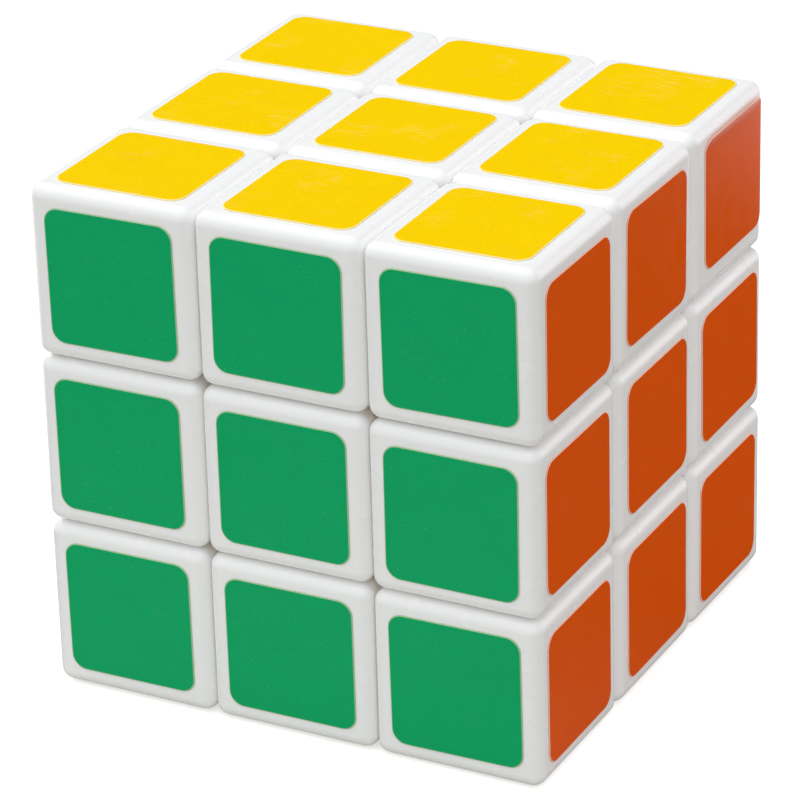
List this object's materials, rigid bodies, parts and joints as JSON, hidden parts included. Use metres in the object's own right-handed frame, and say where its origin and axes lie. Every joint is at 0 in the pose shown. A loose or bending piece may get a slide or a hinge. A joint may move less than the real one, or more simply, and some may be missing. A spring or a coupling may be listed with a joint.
{
  "type": "twisty puzzle cube",
  "caption": "White three-layer twisty puzzle cube whose six faces turn on a sprung core, each carrying its edge and corner pieces.",
  "frame": {"origin": "centre of the core, where the six faces' turning axes meet", "axes": "+X out of the right (orange) face, -Y out of the front (green) face, +Z out of the top (yellow) face"},
  "size_m": [0.057, 0.057, 0.057],
  "materials": {
    "white_plastic": "gloss",
    "cap_plastic": "gloss",
    "core_plastic": "satin",
    "screw_steel": "satin",
    "washer_steel": "satin",
    "spring_steel": "satin",
    "sticker_yellow": "gloss",
    "sticker_green": "gloss",
    "sticker_orange": "gloss",
    "sticker_red": "gloss",
    "sticker_blue": "gloss",
    "sticker_black": "gloss"
  },
  "bodies": {
    "core": {"core": "core_plastic", "screw_top": "screw_steel", "washer_top": "washer_steel", "spring_top": "spring_steel", "screw_bottom": "screw_steel", "washer_bottom": "washer_steel", "spring_bottom": "spring_steel", "screw_right": "screw_steel", "washer_right": "washer_steel", "spring_right": "spring_steel", "screw_left": "screw_steel", "washer_left": "washer_steel", "spring_left": "spring_steel", "screw_front": "screw_steel", "washer_front": "washer_steel", "spring_front": "spring_steel", "screw_back": "screw_steel", "washer_back": "washer_steel", "spring_back": "spring_steel"},
    "centre_top": {"centre_top": "white_plastic", "cap_top": "cap_plastic"},
    "centre_bottom": {"centre_bottom": "white_plastic", "cap_bottom": "cap_plastic"},
    "centre_right": {"centre_right": "white_plastic", "cap_right": "cap_plastic"},
    "centre_left": {"centre_left": "white_plastic", "cap_left": "cap_plastic"},
    "centre_front": {"centre_front": "white_plastic", "cap_front": "cap_plastic"},
    "centre_back": {"centre_back": "white_plastic", "cap_back": "cap_plastic"},
    "edge_top_front": {"edge_top_front": "white_plastic"},
    "edge_top_back": {"edge_top_back": "white_plastic"},
    "edge_bottom_front": {"edge_bottom_front": "white_plastic"},
    "edge_bottom_back": {"edge_bottom_back": "white_plastic"},
    "edge_top_right": {"edge_top_right": "white_plastic"},
    "edge_top_left": {"edge_top_left": "white_plastic"},
    "edge_bottom_right": {"edge_bottom_right": "white_plastic"},
    "edge_bottom_left": {"edge_bottom_left": "white_plastic"},
    "edge_front_right": {"edge_front_right": "white_plastic"},
    "edge_front_left": {"edge_front_left": "white_plastic"},
    "edge_back_right": {"edge_back_right": "white_plastic"},
    "edge_back_left": {"edge_back_left": "white_plastic"},
    "corner_top_front_right": {"corner_top_front_right": "white_plastic"},
    "corner_top_front_left": {"corner_top_front_left": "white_plastic"},
    "corner_top_back_right": {"corner_top_back_right": "white_plastic"},
    "corner_top_back_left": {"corner_top_back_left": "white_plastic"},
    "corner_bottom_front_right": {"corner_bottom_front_right": "white_plastic"},
    "corner_bottom_front_left": {"corner_bottom_front_left": "white_plastic"},
    "corner_bottom_back_right": {"corner_bottom_back_right": "white_plastic"},
    "corner_bottom_back_left": {"corner_bottom_back_left": "white_plastic"}
  },
  "joints": [
    {"name": "turn_top", "type": "hinge", "parent": "core", "child": "centre_top", "pos_m": [0, 0, 0], "axis": [0, 0, 1], "continuous": true},
    {"name": "turn_bottom", "type": "hinge", "parent": "core", "child": "centre_bottom", "pos_m": [0, 0, 0], "axis": [0, 0, 1], "continuous": true},
    {"name": "turn_right", "type": "hinge", "parent": "core", "child": "centre_right", "pos_m": [0, 0, 0], "axis": [1, 0, 0], "continuous": true},
    {"name": "turn_left", "type": "hinge", "parent": "core", "child": "centre_left", "pos_m": [0, 0, 0], "axis": [1, 0, 0], "continuous": true},
    {"name": "turn_front", "type": "hinge", "parent": "core", "child": "centre_front", "pos_m": [0, 0, 0], "axis": [0, 1, 0], "continuous": true},
    {"name": "turn_back", "type": "hinge", "parent": "core", "child": "centre_back", "pos_m": [0, 0, 0], "axis": [0, 1, 0], "continuous": true},
    {"name": "edge_top_front_with_top", "type": "hinge", "parent": "centre_front", "child": "edge_top_front", "pos_m": [0, 0, 0], "axis": [0, 0, 1], "continuous": true},
    {"name": "edge_top_back_with_top", "type": "hinge", "parent": "centre_back", "child": "edge_top_back", "pos_m": [0, 0, 0], "axis": [0, 0, 1], "continuous": true},
    {"name": "edge_bottom_front_with_bottom", "type": "hinge", "parent": "centre_front", "child": "edge_bottom_front", "pos_m": [0, 0, 0], "axis": [0, 0, 1], "continuous": true},
    {"name": "edge_bottom_back_with_bottom", "type": "hinge", "parent": "centre_back", "child": "edge_bottom_back", "pos_m": [0, 0, 0], "axis": [0, 0, 1], "continuous": true},
    {"name": "edge_top_right_with_right", "type": "hinge", "parent": "centre_top", "child": "edge_top_right", "pos_m": [0, 0, 0], "axis": [1, 0, 0], "continuous": true},
    {"name": "edge_top_left_with_left", "type": "hinge", "parent": "centre_top", "child": "edge_top_left", "pos_m": [0, 0, 0], "axis": [1, 0, 0], "continuous": true},
    {"name": "edge_bottom_right_with_right", "type": "hinge", "parent": "centre_bottom", "child": "edge_bottom_right", "pos_m": [0, 0, 0], "axis": [1, 0, 0], "continuous": true},
    {"name": "edge_bottom_left_with_left", "type": "hinge", "parent": "centre_bottom", "child": "edge_bottom_left", "pos_m": [0, 0, 0], "axis": [1, 0, 0], "continuous": true},
    {"name": "edge_front_right_with_front", "type": "hinge", "parent": "centre_right", "child": "edge_front_right", "pos_m": [0, 0, 0], "axis": [0, 1, 0], "continuous": true},
    {"name": "edge_front_left_with_front", "type": "hinge", "parent": "centre_left", "child": "edge_front_left", "pos_m": [0, 0, 0], "axis": [0, 1, 0], "continuous": true},
    {"name": "edge_back_right_with_back", "type": "hinge", "parent": "centre_right", "child": "edge_back_right", "pos_m": [0, 0, 0], "axis": [0, 1, 0], "continuous": true},
    {"name": "edge_back_left_with_back", "type": "hinge", "parent": "centre_left", "child": "edge_back_left", "pos_m": [0, 0, 0], "axis": [0, 1, 0], "continuous": true},
    {"name": "corner_top_front_right_with_front", "type": "hinge", "parent": "edge_top_right", "child": "corner_top_front_right", "pos_m": [0, 0, 0], "axis": [0, 1, 0], "continuous": true},
    {"name": "corner_top_front_left_with_front", "type": "hinge", "parent": "edge_top_left", "child": "corner_top_front_left", "pos_m": [0, 0, 0], "axis": [0, 1, 0], "continuous": true},
    {"name": "corner_top_back_right_with_back", "type": "hinge", "parent": "edge_top_right", "child": "corner_top_back_right", "pos_m": [0, 0, 0], "axis": [0, 1, 0], "continuous": true},
    {"name": "corner_top_back_left_with_back", "type": "hinge", "parent": "edge_top_left", "child": "corner_top_back_left", "pos_m": [0, 0, 0], "axis": [0, 1, 0], "continuous": true},
    {"name": "corner_bottom_front_right_with_front", "type": "hinge", "parent": "edge_bottom_right", "child": "corner_bottom_front_right", "pos_m": [0, 0, 0], "axis": [0, 1, 0], "continuous": true},
    {"name": "corner_bottom_front_left_with_front", "type": "hinge", "parent": "edge_bottom_left", "child": "corner_bottom_front_left", "pos_m": [0, 0, 0], "axis": [0, 1, 0], "continuous": true},
    {"name": "corner_bottom_back_right_with_back", "type": "hinge", "parent": "edge_bottom_right", "child": "corner_bottom_back_right", "pos_m": [0, 0, 0], "axis": [0, 1, 0], "continuous": true},
    {"name": "corner_bottom_back_left_with_back", "type": "hinge", "parent": "edge_bottom_left", "child": "corner_bottom_back_left", "pos_m": [0, 0, 0], "axis": [0, 1, 0], "continuous": true}
  ],
  "couplings": [
    {"joint": "edge_top_front_with_top", "follows": "turn_top", "ratio": 1},
    {"joint": "edge_top_back_with_top", "follows": "turn_top", "ratio": 1},
    {"joint": "edge_bottom_front_with_bottom", "follows": "turn_bottom", "ratio": 1},
    {"joint": "edge_bottom_back_with_bottom", "follows": "turn_bottom", "ratio": 1},
    {"joint": "edge_top_right_with_right", "follows": "turn_right", "ratio": 1},
    {"joint": "edge_top_left_with_left", "follows": "turn_left", "ratio": 1},
    {"joint": "edge_bottom_right_with_right", "follows": "turn_right", "ratio": 1},
    {"joint": "edge_bottom_left_with_left", "follows": "turn_left", "ratio": 1},
    {"joint": "edge_front_right_with_front", "follows": "turn_front", "ratio": 1},
    {"joint": "edge_front_left_with_front", "follows": "turn_front", "ratio": 1},
    {"joint": "edge_back_right_with_back", "follows": "turn_back", "ratio": 1},
    {"joint": "edge_back_left_with_back", "follows": "turn_back", "ratio": 1},
    {"joint": "corner_top_front_right_with_front", "follows": "turn_front", "ratio": 1},
    {"joint": "corner_top_front_left_with_front", "follows": "turn_front", "ratio": 1},
    {"joint": "corner_top_back_right_with_back", "follows": "turn_back", "ratio": 1},
    {"joint": "corner_top_back_left_with_back", "follows": "turn_back", "ratio": 1},
    {"joint": "corner_bottom_front_right_with_front", "follows": "turn_front", "ratio": 1},
    {"joint": "corner_bottom_front_left_with_front", "follows": "turn_front", "ratio": 1},
    {"joint": "corner_bottom_back_right_with_back", "follows": "turn_back", "ratio": 1},
    {"joint": "corner_bottom_back_left_with_back", "follows": "turn_back", "ratio": 1}
  ]
}
